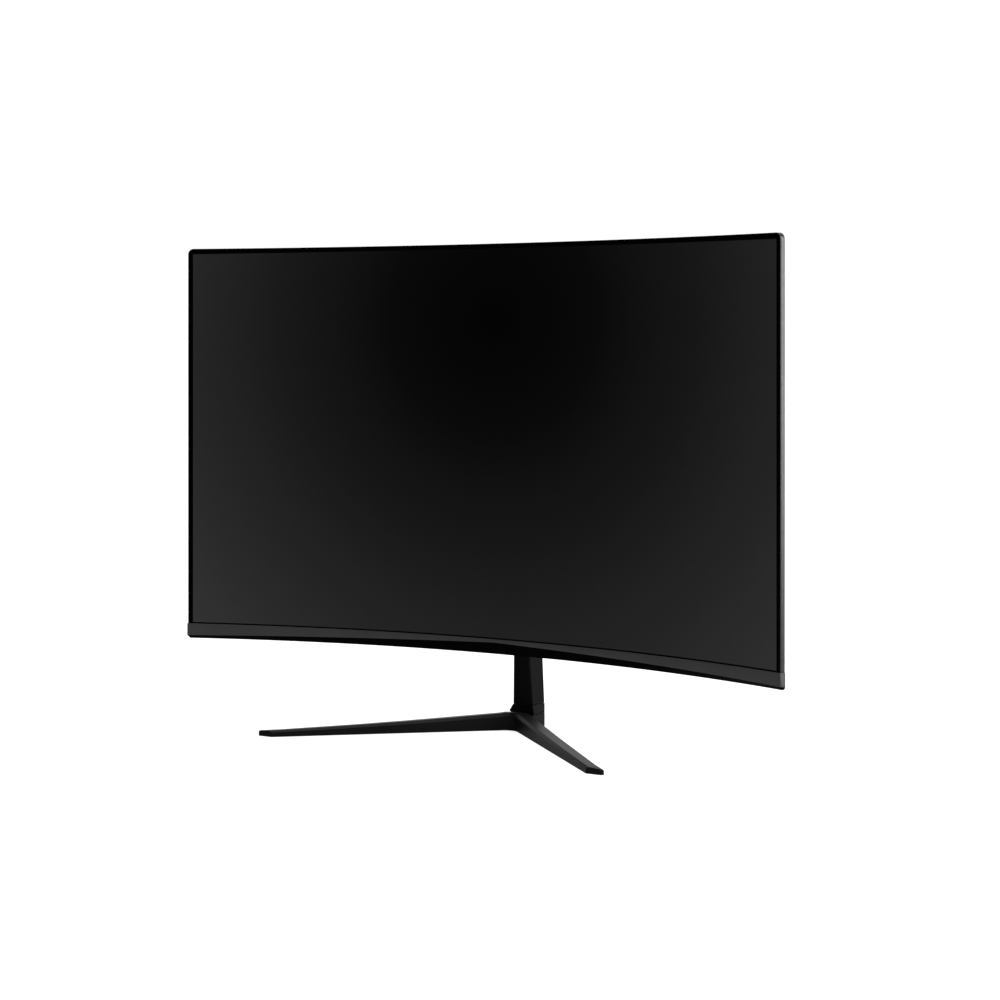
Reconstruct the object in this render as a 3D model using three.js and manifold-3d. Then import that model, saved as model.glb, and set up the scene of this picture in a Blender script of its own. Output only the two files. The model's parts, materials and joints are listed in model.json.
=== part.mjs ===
// A 31.5 inch curved desktop monitor on a slim neck and a V-shaped foot.
// Millimetres. +X is to the viewer's right, +Y points away from the viewer and +Z is up.
// The desk is z = 0. Inside the head, "depth" is measured from the front of the glass towards the
// rear, and "arc" is measured along the curved glass from its vertical centre line.
import * as THREE from 'three';
import { mergeVertices } from 'three/addons/utils/BufferGeometryUtils.js';
import Module from 'manifold-3d';

const wasm = await Module();
wasm.setup();

// ---- driving dimensions ----
const CURVE_RADIUS = 1000;      // radius of the front of the glass, centre in front of the monitor
const CURVE_STEPS = 24;         // flat facets across a full-width curved piece
const CORNER_STEPS = 4;         // flat facets round a rounded corner
const GAP = 0.3;                // clearance between neighbouring pieces

const PICTURE_HALF_ARC = 349.2; // half the width of the lit picture, along the curve
const HEAD = { halfArc: 355.1, bottom: 81, top: 496, front: -0.4, seam: 5.2, corner: 6 };
const RIM = 1.2;                // wall thickness of the front frame
const LEDGE = { reach: 4.9, depth: [1.6, 2.4] };
const GLASS = { thickness: 1.3, bottom: 94.6 };
const CHIN = { top: 97, front: -1, halfArc: 355.8, arrisCentre: 93.7, arrisDrop: 9.2, bow: 0.8,
  bevelDepth: 3, corner: 3 };
const STATUS_LIGHT = { arc: 300, half: 4, depth: [3.5, 4.7], z: [81.3, 83.6] };

// The layers behind the glass: half arc, depth and height.
const LAYERS = {
  film: [349.5, [1.6, 2.1], [97, 490.6]],
  lightGuide: [349.3, [2.4, 4.4], [98.9, 490.6]],
  ledStrip: [340, [2.8, 4.4], [96.1, 98.6]],
  reflector: [349.3, [4.7, 4.9], [96.1, 490.6]],
};
const TRAY = { halfArc: 350.6, depth: [2.7, 5.8], z: [95.2, 491.7], sheet: 0.6 };

const COVER_WALL = 1.8;
const COVER = { halfArc: 354.5, bottom: 81.3, top: 495.4, front: 5.5, edge: 5.8, corner: 5.4, rim: 3.6 };
const WING = { halfArc: 339, depth: 14.5, centreDepth: 16.5 };
const TOP_BEVEL = 1.3;          // drop of the cover's top bevel for each millimetre of depth
const LOW_BEVEL = 0.9;          // rise of its lower bevel for each millimetre of depth
const HUMP = { rear: 38, base: 6, flare: 16 };
const HUMP_CORNERS = [[-150, 132], [150, 132], [168, 156], [168, 326], [118, 392], [-118, 392],
  [-168, 326], [-168, 156]];
const RECESS = { halfWidth: 68, halfHeight: 68, floor: 33, corner: 10 };
const PORT_BAY = { x: [58, 150], y: 17, z: [100, 153] };
const VENTS = { count: 15, pitch: 12, half: 1.7, z: [346, 376] };
const LOCK_SLOT = { x: [-143.5, -136.5], z: [150, 153] };
const COVER_SCREWS = [[-310, 468], [0, 468], [310, 468], [-310, 104], [0, 104], [310, 104]];
const BOSS = { radius: 4.4, end: 6.4, seat: 10.4, bore: 1.7, counterbore: 3.4 };

// The sockets in a row, left to right: centre, width and height of each shell's mouth.
const SOCKETS = {
  dc_inlet: { x: 64.5, width: 10, height: 10 },
  hdmi_port_inner: { x: 80, width: 15, height: 5.6 },
  hdmi_port_outer: { x: 98.5, width: 15, height: 5.6 },
  display_port: { x: 118, width: 17.6, height: 5.8 },
  audio_jack: { x: 137, width: 8, height: 6.4 },
};
const SOCKET_BACK = 20.5;       // the side of each socket that lies on the main board
const BOARD = [18.6, 20.2];     // front and rear of both large circuit boards

const TILT = { y: 66, z: 252 };
const KNUCKLE = { radius: 8, halfWidth: 8.2, bore: 3.8 };
const HINGE_PLATE = { half: 36, front: 33.3, thickness: 3, screwHalf: 26, screwBore: 2.4 };
const VESA_HALF = 50;           // 100 x 100 mm hole pattern
const STANDOFF = { radius: 4.6, bore: 2, end: 33.8 };

const NECK_REAR = 78;
const NECK_TOP = 236;
const NECK_WALL = 1.8;
const NECK_SECTIONS = [         // height, half width, front face
  { z: 24.3, half: 11.9, front: 53.9 },
  { z: 70, half: 9.8, front: 51.2 },
  { z: 150, half: 9.5, front: 51.2 },
  { z: NECK_TOP, half: 9.5, front: 54 },
];
const NECK_SCREWS = { heights: [52, 216], bore: 1.9 };
const COLLAR = [                // from the foot up: height, half width, front face
  { z: 13.8, half: 12.4, front: 54.6 },
  { z: 17.4, half: 15, front: 51.4 },
  { z: 24, half: 11.9, front: 53.9 },
];
const SPINE = { half: 6, y: [60, 74], bottom: 14.2 };

const LEG = { angle: THREE.MathUtils.degToRad(42.4), cornerY: 37.5, length: 247.5, insideRadius: 13.2,
  tipTrim: 3 };
const BASE_BOTTOM = 0.3;
const HUB = { half: 12.5, y: [36, 79], top: 13.5 };
const FEET = {
  foot_left_tip: [-179, -115], foot_left_middle: [-96, -39.5], foot_rear: [0, 47.5],
  foot_right_middle: [96, -39.5], foot_right_tip: [179, -115],
};
const FOOT = { radius: 4.6, depth: 2 };
const THUMBSCREW = { y: 67, headRadius: 8.5, recessRadius: 9.3, recessTop: 6 };

const JOYSTICK = { arc: 230, z: 112, pivotDepth: 11 };
const STICK_CENTRE = [0, 0, 0];

// Brings the middle of the whole depth, from the tips of the legs to the rear of the hub, to y = 0.
const DEPTH_SHIFT = (LEG.length * Math.sin(LEG.angle) - LEG.cornerY - HUB.y[1]) / 2;

// ---- materials ----
const material = (color, roughness, metalness = 0) =>
  new THREE.MeshStandardMaterial({ color, roughness, metalness });
const satinBlack = () => material(0x18181a, 0.5);
const blackSteel = () => material(0x161618, 0.45, 0.6);
const bareSteel = () => material(0x9a9ca0, 0.4, 1);
const rubber = () => material(0x0d0d0e, 0.9);
const circuitBoard = () => material(0x1c4a2c, 0.6);
const connectorMetal = () => material(0xa8a9ad, 0.35, 1);

// ---- solids ----
function signedVolume(position, index) {
  const [a, b, c] = [new THREE.Vector3(), new THREE.Vector3(), new THREE.Vector3()];
  let total = 0;
  for (let i = 0; i < index.length; i += 3) {
    a.fromBufferAttribute(position, index[i]);
    b.fromBufferAttribute(position, index[i + 1]);
    c.fromBufferAttribute(position, index[i + 2]);
    total += a.dot(b.cross(c));
  }
  return total;
}

// One closed surface: shared vertices merged, empty triangles dropped, faces turned outwards.
function closed(geometry) {
  const bare = new THREE.BufferGeometry();
  bare.setAttribute('position', geometry.getAttribute('position').clone());
  bare.setIndex(geometry.index ? geometry.index.clone() : null);
  const merged = mergeVertices(bare, 1e-4);
  const index = [];
  for (let i = 0; i < merged.index.count; i += 3) {
    const [a, b, c] = [0, 1, 2].map((k) => merged.index.getX(i + k));
    if (a !== b && b !== c && c !== a) index.push(a, b, c);
  }
  if (signedVolume(merged.attributes.position, index) < 0) index.reverse();
  merged.setIndex(index);
  return merged;
}

function toManifold(geometry) {
  const shape = closed(geometry);
  return new wasm.Manifold(new wasm.Mesh({
    numProp: 3,
    vertProperties: new Float32Array(shape.attributes.position.array),
    triVerts: new Uint32Array(shape.index.array),
  }));
}

function fromManifold(solid) {
  const mesh = solid.getMesh();
  const geometry = new THREE.BufferGeometry();
  geometry.setAttribute('position', new THREE.BufferAttribute(mesh.vertProperties, 3));
  geometry.setIndex(new THREE.BufferAttribute(mesh.triVerts, 1));
  return geometry;
}

const join = (first, ...rest) =>
  fromManifold(rest.reduce((solid, tool) => solid.add(toManifold(tool)), toManifold(first)));
const cut = (first, ...tools) =>
  fromManifold(tools.reduce((solid, tool) => solid.subtract(toManifold(tool)), toManifold(first)));

function block([x0, x1], [y0, y1], [z0, z1]) {
  return new THREE.BoxGeometry(x1 - x0, y1 - y0, z1 - z0)
    .translate((x0 + x1) / 2, (y0 + y1) / 2, (z0 + z1) / 2);
}

// A turned piece: profile of [radius, height] points, along X, Y or Z from a centre point.
function turned(profile, axis, [x, y, z], segments = 20) {
  const geometry = new THREE.LatheGeometry(profile.map(([r, h]) => new THREE.Vector2(r, h)), segments);
  if (axis === 'x') geometry.rotateZ(-Math.PI / 2);
  if (axis === 'z') geometry.rotateX(Math.PI / 2);
  return geometry.translate(x, y, z);
}

const rod = (radius, from, to, axis, centre, segments) =>
  turned([[0, from], [radius, from], [radius, to], [0, to]], axis, centre, segments);
const ring = (inner, outer, from, to, axis, centre, segments) =>
  turned([[inner, from], [outer, from], [outer, to], [inner, to], [inner, from]], axis, centre, segments);

function roundedRectangle([x0, x1], [z0, z1], radius) {
  const shape = new THREE.Shape();
  shape.absarc(x1 - radius, z1 - radius, radius, 0, Math.PI / 2);
  shape.absarc(x0 + radius, z1 - radius, radius, Math.PI / 2, Math.PI);
  shape.absarc(x0 + radius, z0 + radius, radius, Math.PI, 1.5 * Math.PI);
  shape.absarc(x1 - radius, z0 + radius, radius, 1.5 * Math.PI, 2 * Math.PI);
  return shape;
}

// A plate: an outline in the X-Z plane, thick from y0 to y1.
function plate(shape, [y0, y1], curveSegments = 4) {
  return new THREE.ExtrudeGeometry(shape, { depth: y1 - y0, bevelEnabled: false, curveSegments })
    .rotateX(Math.PI / 2)
    .translate(0, y1, 0);
}

const outline = (points) => new THREE.Shape(points.map(([x, z]) => new THREE.Vector2(x, z)));

// A skin over matching cross-sections, closed at both ends; profile is one section drawn flat.
function loft(sections, profile) {
  const count = profile.length;
  const flat = profile.map(([x, y]) => new THREE.Vector2(x, y));
  const turn = Math.sign(THREE.ShapeUtils.area(flat));
  const last = (sections.length - 1) * count;
  const index = [];
  for (let i = 0; i < last; i += count) {
    for (let j = 0; j < count; j += 1) {
      const next = (j + 1) % count;
      index.push(i + j, i + next, i + next + count, i + j, i + next + count, i + j + count);
    }
  }
  for (const face of THREE.ShapeUtils.triangulateShape(flat, [])) {
    const same = Math.sign(THREE.ShapeUtils.area(face.map((k) => flat[k]))) === turn;
    const [a, b, c] = same ? face : [face[0], face[2], face[1]];
    index.push(a, c, b, last + a, last + b, last + c);
  }
  const geometry = new THREE.BufferGeometry();
  const points = sections.flat().flatMap((p) => [p.x, p.y, p.z]);
  geometry.setAttribute('position', new THREE.Float32BufferAttribute(points, 3));
  geometry.setIndex(index);
  return geometry;
}

// ---- the curved head ----
function onCurve(arc, depth, z) {
  const angle = arc / CURVE_RADIUS;
  const radius = CURVE_RADIUS + depth;
  return new THREE.Vector3(radius * Math.sin(angle), radius * Math.cos(angle) - CURVE_RADIUS, z);
}

// Moves a piece made at the origin to a place on the curve, its Y axis pointing rearwards there.
function placed(geometry, arc, depth, z) {
  const place = onCurve(arc, depth, z);
  return geometry.rotateZ(-arc / CURVE_RADIUS).translate(place.x, place.y, place.z);
}

const arcStops = (halfArc, steps = CURVE_STEPS) =>
  Array.from({ length: steps + 1 }, (_, i) => halfArc * (2 * i / steps - 1));

// Stops for a piece with rounded corners at its ends, closer together round the corners.
function corneredStops(halfArc, radius) {
  const ends = Array.from({ length: CORNER_STEPS }, (_, i) =>
    halfArc - radius * (1 - Math.cos(i * Math.PI / 2 / CORNER_STEPS)));
  return [...ends.map((arc) => -arc), ...arcStops(halfArc - radius), ...ends.toReversed()];
}

// How far the outline has left its straight edge at this place along a rounded corner.
function cornerDrop(arc, halfArc, radius) {
  const into = Math.min(radius, radius - (halfArc - Math.abs(arc)));
  return into > 0 ? radius - Math.sqrt(radius ** 2 - into ** 2) : 0;
}

// A bar that follows the curve; profileAt(arc) gives its section as [depth, z] points.
function curvedBar(stops, profileAt) {
  const sections = stops.map((arc) => profileAt(arc).map(([depth, z]) => onCurve(arc, depth, z)));
  return loft(sections, profileAt(stops[0]));
}

function curvedSlab(halfArc, [d0, d1], [z0, z1]) {
  return curvedBar(arcStops(halfArc), () => [[d0, z0], [d0, z1], [d1, z1], [d1, z0]]);
}

// The panel glass, its upper corners rounded to sit inside the frame's.
function lcdPanel() {
  const inset = RIM + GAP;
  const [halfArc, corner] = [HEAD.halfArc - inset, HEAD.corner - inset];
  return curvedBar(corneredStops(halfArc, corner), (arc) => {
    const top = HEAD.top - inset - cornerDrop(arc, halfArc, corner);
    return [[0, GLASS.bottom], [0, top], [GLASS.thickness, top], [GLASS.thickness, GLASS.bottom]];
  });
}

// The thin rim round the top and both sides, with a ledge behind the glass, as one sweep.
function frontFrame() {
  const { corner } = HEAD;
  const path = [[-HEAD.halfArc, CHIN.top + GAP, 1, 0]];
  for (let i = 0; i <= CORNER_STEPS; i += 1) {
    const turn = i * Math.PI / 2 / CORNER_STEPS;
    path.push([-HEAD.halfArc + corner * (1 - Math.cos(turn)), HEAD.top - corner * (1 - Math.sin(turn)),
      Math.cos(turn), -Math.sin(turn)]);
  }
  const middle = arcStops(HEAD.halfArc - corner).slice(1, -1).map((arc) => [arc, HEAD.top, 0, -1]);
  const mirrored = path.map(([arc, z, inX, inZ]) => [-arc, z, -inX, inZ]).reverse();
  const [ledgeFront, ledgeRear] = LEDGE.depth;
  const profile = [[0, HEAD.front], [RIM, HEAD.front], [RIM, ledgeFront], [LEDGE.reach, ledgeFront],
    [LEDGE.reach, ledgeRear], [RIM, ledgeRear], [RIM, HEAD.seam], [0, HEAD.seam]];
  const sections = [...path, ...middle, ...mirrored].map(([arc, z, inX, inZ]) =>
    profile.map(([inset, depth]) => onCurve(arc + inset * inX, depth, z + inset * inZ)));
  return loft(sections, profile);
}

// Height of the chin's lower edge: a shallow bow, with a rounded corner at each end.
const chinBottom = (arc) => HEAD.bottom + CHIN.bow * (1 - (arc / CHIN.halfArc) ** 2)
  + cornerDrop(arc, CHIN.halfArc, CHIN.corner);

// Height of the edge between the chin's face and the bevel below it, high in the middle.
function chinArris(arc) {
  const t = Math.abs(arc) / PICTURE_HALF_ARC;
  const height = CHIN.arrisCentre - CHIN.arrisDrop * (1.25 * t - 0.25 * t * t);
  return Math.max(height, chinBottom(arc) + 0.6);
}

// The chin: a forward face that is tall at the ends and thin in the middle, and a bevel below it.
function chinBezel() {
  const outside = (arc) => [[CHIN.front, CHIN.top], [CHIN.front, chinArris(arc)],
    [CHIN.bevelDepth, chinBottom(arc)], [HEAD.seam, chinBottom(arc)]];
  const channel = (arc) => [...outside(arc), [HEAD.seam, 84.8], [1.9, 92.5],
    [1.9, GLASS.bottom - GAP], [-GAP, GLASS.bottom - GAP], [-GAP, CHIN.top]];
  const endPlate = (arc) => [...outside(arc), [HEAD.seam, CHIN.top]];
  const stops = corneredStops(CHIN.halfArc, CHIN.corner);
  const body = curvedBar(stops.slice(2, -2), channel);
  const ends = [stops.slice(0, CORNER_STEPS), stops.slice(-CORNER_STEPS)].map((part) =>
    curvedBar(part, endPlate));
  const { arc, half, depth, z } = STATUS_LIGHT;
  const window = block([-half - GAP, half + GAP], [depth[0] - GAP, depth[1] + GAP], [z[0] - 2, z[1] + 6]);
  return cut(join(body, ...ends), placed(window, arc, 0, 0));
}

// A smoked lens in the underside of the chin's right-hand end.
function statusLightLens() {
  const { arc, half, depth, z } = STATUS_LIGHT;
  return placed(block([-half, half], depth, z), arc, 0, 0);
}

// The metal tray that holds the backlight, open to the front.
function panelTray() {
  const { halfArc, depth: [front, rear], z: [low, high], sheet } = TRAY;
  const outer = curvedSlab(halfArc, [front, rear], [low, high]);
  const inner = curvedSlab(halfArc - sheet, [front - 1, rear - sheet], [low + sheet, high - sheet]);
  return cut(outer, inner);
}

// ---- rear cover ----
// Depth of the wings: a steep bevel at each end, then nearly parallel to the glass.
function wingDepth(arc) {
  const distance = Math.abs(arc);
  if (distance > WING.halfArc) {
    const t = (COVER.halfArc - distance) / (COVER.halfArc - WING.halfArc);
    return COVER.edge + t * (WING.depth - COVER.edge);
  }
  return WING.centreDepth - (WING.centreDepth - WING.depth) * (distance / WING.halfArc) ** 2;
}

// The cover's curved part: bevelled towards the rear at the top, with a short flat and a bevel below.
function wings(stops, inset, front, corner) {
  const topShift = inset * Math.hypot(1, TOP_BEVEL);
  return curvedBar(stops, (arc) => {
    const drop = cornerDrop(arc, COVER.halfArc, corner);
    const topAt = (depth) => COVER.top - drop - topShift - TOP_BEVEL * (depth - COVER.front);
    const rear = wingDepth(arc) - inset;
    const low = COVER.bottom + inset + drop;
    const bow = CHIN.bow * (1 - (arc / COVER.halfArc) ** 2);
    return [[front, low + bow], [COVER.front + 0.35 * (rear - COVER.front), low + bow],
      [rear, low + bow + LOW_BEVEL * (rear - COVER.front)], [rear, topAt(rear)],
      [COVER.front, topAt(COVER.front)], [front, topAt(COVER.front)]];
  });
}

// The raised middle of the cover, a flat-backed block with sloping sides.
function hump(inset) {
  const grown = (amount) => HUMP_CORNERS.map(([x, z]) =>
    [x + amount * Math.sign(x), z + amount * Math.sign(z - TILT.z)]);
  const section = (points, y) => points.map(([x, z]) => new THREE.Vector3(x, y, z));
  const base = grown(HUMP.flare - inset);
  const top = grown(-inset);
  return loft([section(base, HUMP.base - inset), section(top, HUMP.rear - inset)], top);
}

const recess = (grow) => plate(
  roundedRectangle([-RECESS.halfWidth - grow, RECESS.halfWidth + grow],
    [TILT.z - RECESS.halfHeight - grow, TILT.z + RECESS.halfHeight + grow], RECESS.corner + grow),
  [RECESS.floor - grow, 60]);
const portBay = (grow) => block([PORT_BAY.x[0] - grow, PORT_BAY.x[1] + grow], [PORT_BAY.y - grow, 60],
  [PORT_BAY.z[0], PORT_BAY.z[1] + grow]);

function coverHoles() {
  const behind = [25, 45];        // a reach that passes through the cover's rear wall
  const sockets = Object.values(SOCKETS).map(({ x, width, height }) =>
    block([x - width / 2 - GAP, x + width / 2 + GAP],
      [SOCKET_BACK - GAP, SOCKET_BACK + height + GAP], [150, 160]));
  const plateScrews = cornerPoints(HINGE_PLATE.screwHalf).map(([x, z]) =>
    rod(HINGE_PLATE.screwBore, ...behind, 'y', [x, 0, z], 12));
  const standoffs = cornerPoints(VESA_HALF).map(([x, z]) =>
    rod(STANDOFF.radius + GAP, ...behind, 'y', [x, 0, z], 16));
  const vents = Array.from({ length: VENTS.count }, (_, i) => (i - (VENTS.count - 1) / 2) * VENTS.pitch)
    .map((x) => block([x - VENTS.half, x + VENTS.half], [33, 45], VENTS.z));
  const screws = COVER_SCREWS.flatMap(([arc, z]) => [
    placed(rod(BOSS.bore, 0, 30, 'y', [0, 0, 0], 8), arc, 0, z),
    placed(rod(BOSS.counterbore, BOSS.seat, 30, 'y', [0, 0, 0], 12), arc, 0, z),
  ]);
  const stick = placed(rod(7.5, 8, 30, 'y', [0, 0, 0], 24), JOYSTICK.arc, 0, JOYSTICK.z);
  const lockSlot = block(LOCK_SLOT.x, [33, 45], LOCK_SLOT.z);
  return [...sockets, ...plateScrews, ...standoffs, ...vents, ...screws, stick, lockSlot];
}

// The four corners of a square centred on the tilt axis, as [x, z] points.
function cornerPoints(half) {
  return [[-1, -1], [1, -1], [1, 1], [-1, 1]].map(([x, z]) => [x * half, TILT.z + z * half]);
}

function rearCover() {
  const { halfArc, front, corner, rim } = COVER;
  const beyondWing = corneredStops(halfArc, corner).filter((arc) => Math.abs(arc) > WING.halfArc);
  const outerStops = [...beyondWing, ...arcStops(WING.halfArc)].sort((a, b) => a - b);
  const innerStops = [rim - halfArc, ...arcStops(WING.halfArc), halfArc - rim];
  const outer = cut(join(wings(outerStops, 0, front, corner), hump(0)), recess(0), portBay(0));
  const hollow = join(wings(innerStops, COVER_WALL, front - 3, 0), hump(COVER_WALL));
  const bosses = COVER_SCREWS.map(([arc, z]) =>
    placed(rod(BOSS.radius, BOSS.end, WING.depth + 1, 'y', [0, 0, 0], 10), arc, 0, z));
  const inside = cut(hollow, recess(COVER_WALL), portBay(COVER_WALL), ...bosses);
  return cut(cut(outer, inside), ...coverHoles());
}

function coverScrew([arc, z]) {
  const screw = turned([[0, 7], [1.4, 7], [1.4, BOSS.seat + GAP], [2.9, BOSS.seat + GAP],
    [2.9, BOSS.seat + 1.8], [1.6, BOSS.seat + 2.4], [1.2, BOSS.seat + 1.4], [0, BOSS.seat + 1.4]],
  'y', [0, 0, 0], 10);
  return placed(screw, arc, 0, z);
}

// ---- inside the hump ----
function boardTray() {
  const sheet = [[-156, 156], [9.4, 10.4], [146, 366]];
  const folds = [[146, 147], [365, 366]].map((z) => block([-96, 96], [6.6, 10], z));
  return join(block(...sheet), ...folds);
}

function vesaBracket() {
  const half = 62;
  const face = block([-67.5, 67.5], [26, 28.5], [TILT.z - half, TILT.z + half]);
  const sides = [[-67.5, -66], [66, 67.5]].map((x) => block(x, [10.8, 27], [TILT.z - 50, TILT.z + 50]));
  const standoffs = cornerPoints(VESA_HALF).map(([x, z]) =>
    rod(STANDOFF.radius, 27, STANDOFF.end, 'y', [x, 0, z], 16));
  const taps = cornerPoints(VESA_HALF).map(([x, z]) => rod(STANDOFF.bore, 20, 40, 'y', [x, 0, z], 12));
  const screwTaps = cornerPoints(HINGE_PLATE.screwHalf).map(([x, z]) =>
    rod(2.3, 20, 40, 'y', [x, 0, z], 12));
  return cut(join(face, ...sides, ...standoffs), ...taps, ...screwTaps);
}

function mainBoard() {
  const board = plate(outline([[58.5, 157.5], [152, 157.5], [152, 262], [72, 262], [72, 184], [58.5, 184]]),
    BOARD);
  return join(board, block([96, 124], [19, 23.4], [196, 224]), block([80, 104], [19, 24.5], [250, 256]));
}

function powerBoard() {
  const board = plate(outline([[-152, 157.5], [-72, 157.5], [-72, 262], [-152, 262]]), BOARD);
  const coil = block([-104, -84], [19, 30], [222, 240]);
  const capacitors = [[-136, 178], [-136, 196], [-120, 178]].map(([x, z]) =>
    rod(5, 19, 32, 'y', [x, 0, z], 16));
  return join(board, coil, ...capacitors);
}

const timingBoard = () => plate(outline([[-70, 332], [70, 332], [70, 358], [-70, 358]]), [13, 14.2]);

// A flat ribbon from the top of the main board up and across to the timing board.
function panelFlatCable() {
  const route = [[22, 256.6], [21.6, 272], [19, 296], [16.5, 316], [14.7, 336], [14.7, 350]];
  const xAt = (z) => 100 - 46 * THREE.MathUtils.smoothstep(z, 290, 335);
  const sections = route.map(([y, z]) => [[-9, 0], [9, 0], [9, 0.4], [-9, 0.4]].map(([x, dy]) =>
    new THREE.Vector3(xAt(z) + x, y + dy, z)));
  return loft(sections, [[-9, 0], [9, 0], [9, 0.4], [-9, 0.4]]);
}

// A socket shell that opens downwards, with the tongue or pin that a plug closes round.
function socket({ x, width, height }, tongue) {
  const [low, high] = [PORT_BAY.z[1] + GAP, 167];
  const [front, rear] = [SOCKET_BACK, SOCKET_BACK + height];
  const shell = block([x - width / 2, x + width / 2], [front, rear], [low, high]);
  return join(cut(shell, tongue.mouth(x, front, rear, low)), tongue.core(x, front, rear, low));
}

const flatTongue = {
  mouth: (x, front, rear, low) => block([x - 6.6, x + 6.6], [front + 0.6, rear - 0.6], [low - 1, low + 9]),
  core: (x, front, rear, low) =>
    block([x - 5, x + 5], [(front + rear) / 2 - 0.5, (front + rear) / 2 + 0.5], [low + 0.8, low + 10]),
};
const barrelPin = (mouthRadius, pinRadius) => ({
  mouth: (x, front, rear, low) => rod(mouthRadius, low - 1, low + 10, 'z', [x, (front + rear) / 2, 0], 20),
  core: (x, front, rear, low) => rod(pinRadius, low + 1, low + 11, 'z', [x, (front + rear) / 2, 0], 12),
});
const plainBore = (radius) => ({
  mouth: (x, front, rear, low) => rod(radius, low - 1, low + 11, 'z', [x, (front + rear) / 2, 0], 20),
  core: (x, front) => block([x - 1, x + 1], [front, front + 0.5], [158, 166]),
});

function speaker(side) {
  const x = side * 134;
  const box = plate(roundedRectangle([x - 22, x + 22], [272, 312], 8), [12, 28]);
  const cone = rod(10.5, 29.5, 32, 'y', [x, 0, 292]);
  return cut(join(box, rod(13, 27, 31, 'y', [x, 0, 292])), cone);
}

// ---- joystick switch on the rear ----
const stickPart = (geometry) => placed(geometry, JOYSTICK.arc, 0, JOYSTICK.z);
const joystickBoard = () => stickPart(block([-16, 16], [6.6, 7.6], [-8, 8]));

function joystickHousing() {
  const shell = block([-6.5, 6.5], [7.9, 13.3], [-6.5, 6.5]);
  return stickPart(cut(shell, rod(5.6, 8.8, 16, 'y', STICK_CENTRE, 20)));
}

const joystickRing = () => stickPart(
  ring(3.4, 4.7, JOYSTICK.pivotDepth - 0.7, JOYSTICK.pivotDepth + 0.7, 'y', STICK_CENTRE, 20));

function joystickStem() {
  const pivot = JOYSTICK.pivotDepth;
  return stickPart(turned([[0, pivot - 1.8], [1.4, pivot - 1.7], [2.5, pivot - 1], [2.8, pivot],
    [2.5, pivot + 1], [1.3, pivot + 2.2], [1.3, 18.6], [0, 18.6]], 'y', STICK_CENTRE, 12));
}

function joystickCap() {
  const body = turned([[0, 15.6], [2.9, 15.6], [3.1, 18.2], [5.4, 19.8], [5.6, 21.4], [5, 22.4], [3.2, 22.2],
    [0, 21.8]], 'y', STICK_CENTRE, 20);
  return stickPart(cut(body, rod(1.6, 15, 19.8, 'y', STICK_CENTRE, 20)));
}

// ---- tilt hinge ----
function hingePlate() {
  const [front, rear] = [HINGE_PLATE.front, HINGE_PLATE.front + HINGE_PLATE.thickness];
  const { half, screwHalf } = HINGE_PLATE;
  const face = plate(roundedRectangle([-half, half], [TILT.z - half, TILT.z + half], 6), [front, rear]);
  const web = block([-KNUCKLE.halfWidth, KNUCKLE.halfWidth], [rear - 1, TILT.y], [TILT.z - 7, TILT.z + 7]);
  const barrel = rod(KNUCKLE.radius, -KNUCKLE.halfWidth, KNUCKLE.halfWidth, 'x', [0, TILT.y, TILT.z], 24);
  const ribs = [-12, 12].map((rise) =>
    block([-4, 4], [rear - 1, 52], [TILT.z + rise - 6, TILT.z + rise + 6]));
  const bore = rod(KNUCKLE.bore, -20, 20, 'x', [0, TILT.y, TILT.z], 24);
  const holes = cornerPoints(screwHalf).map(([x, z]) =>
    rod(HINGE_PLATE.screwBore, 30, 40, 'y', [x, 0, z], 12));
  return cut(join(face, web, barrel, ...ribs), bore, ...holes);
}

const hingeScrew = ([x, z]) => turned([[0, 25.4], [2, 25.4], [2, 36.6], [3.8, 36.6], [3.8, 38], [2.8, 39],
  [1.4, 39], [1.4, 37.8], [0, 37.8]], 'y', [x, 0, z], 12);

function hingeFork() {
  const foot = block([-14, 14], [57, 75], [NECK_TOP + GAP, 240.5]);
  const ears = [[-13.4, -10.2], [10.2, 13.4]].flatMap(([x0, x1]) => [
    rod(KNUCKLE.radius, x0, x1, 'x', [0, TILT.y, TILT.z], 24),
    block([x0, x1], [TILT.y - KNUCKLE.radius, TILT.y + KNUCKLE.radius], [240, TILT.z]),
  ]);
  return cut(join(foot, ...ears), rod(KNUCKLE.bore, -20, 20, 'x', [0, TILT.y, TILT.z], 24));
}

const onTilt = (profile, segments = 20) => turned(profile, 'x', [0, TILT.y, TILT.z], segments);
const hingePin = () => onTilt([[0, -17.4], [5, -17.4], [5.6, -16.8], [5.6, -13.7], [3.5, -13.7], [3.5, 20],
  [3, 20.6], [0, 20.6]]);
const frictionWasher = (side) => ring(3.8, 7.4, side * 8.5, side * 9.9, 'x', [0, TILT.y, TILT.z]);
const discSpring = () => onTilt([[3.8, 14.5], [3.8, 15.3], [6.6, 14.5], [6.6, 13.7], [3.8, 14.5]]);
const hingeNut = () => cut(rod(6.4, 15.7, 19.7, 'x', [0, TILT.y, TILT.z], 6),
  rod(3.8, 15, 20, 'x', [0, TILT.y, TILT.z]));

// ---- neck ----
function neckSections(inset, extra = 0) {
  return NECK_SECTIONS.map(({ z, half, front }, i) => {
    const height = z + extra * (i === 0 ? -1 : i === NECK_SECTIONS.length - 1 ? 1 : 0);
    const [w, f, r] = [half - inset, front + inset, NECK_REAR - 2.6];
    const ease = inset ? 0.3 : 1.2;
    return [[-w + ease, f], [w - ease, f], [w, f + ease], [w, r], [-w, r], [-w, f + ease]]
      .map(([x, y]) => new THREE.Vector3(x, y, height));
  });
}

function neckCover(inset, extra) {
  const sections = neckSections(inset, extra);
  return loft(sections, sections[0].map((p) => [p.x, p.y]));
}

function neckFrontCover() {
  return cut(neckCover(0, 0), neckCover(NECK_WALL, 1), block([-7.2, 7.2], [70, 80], [20, 250]));
}

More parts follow.
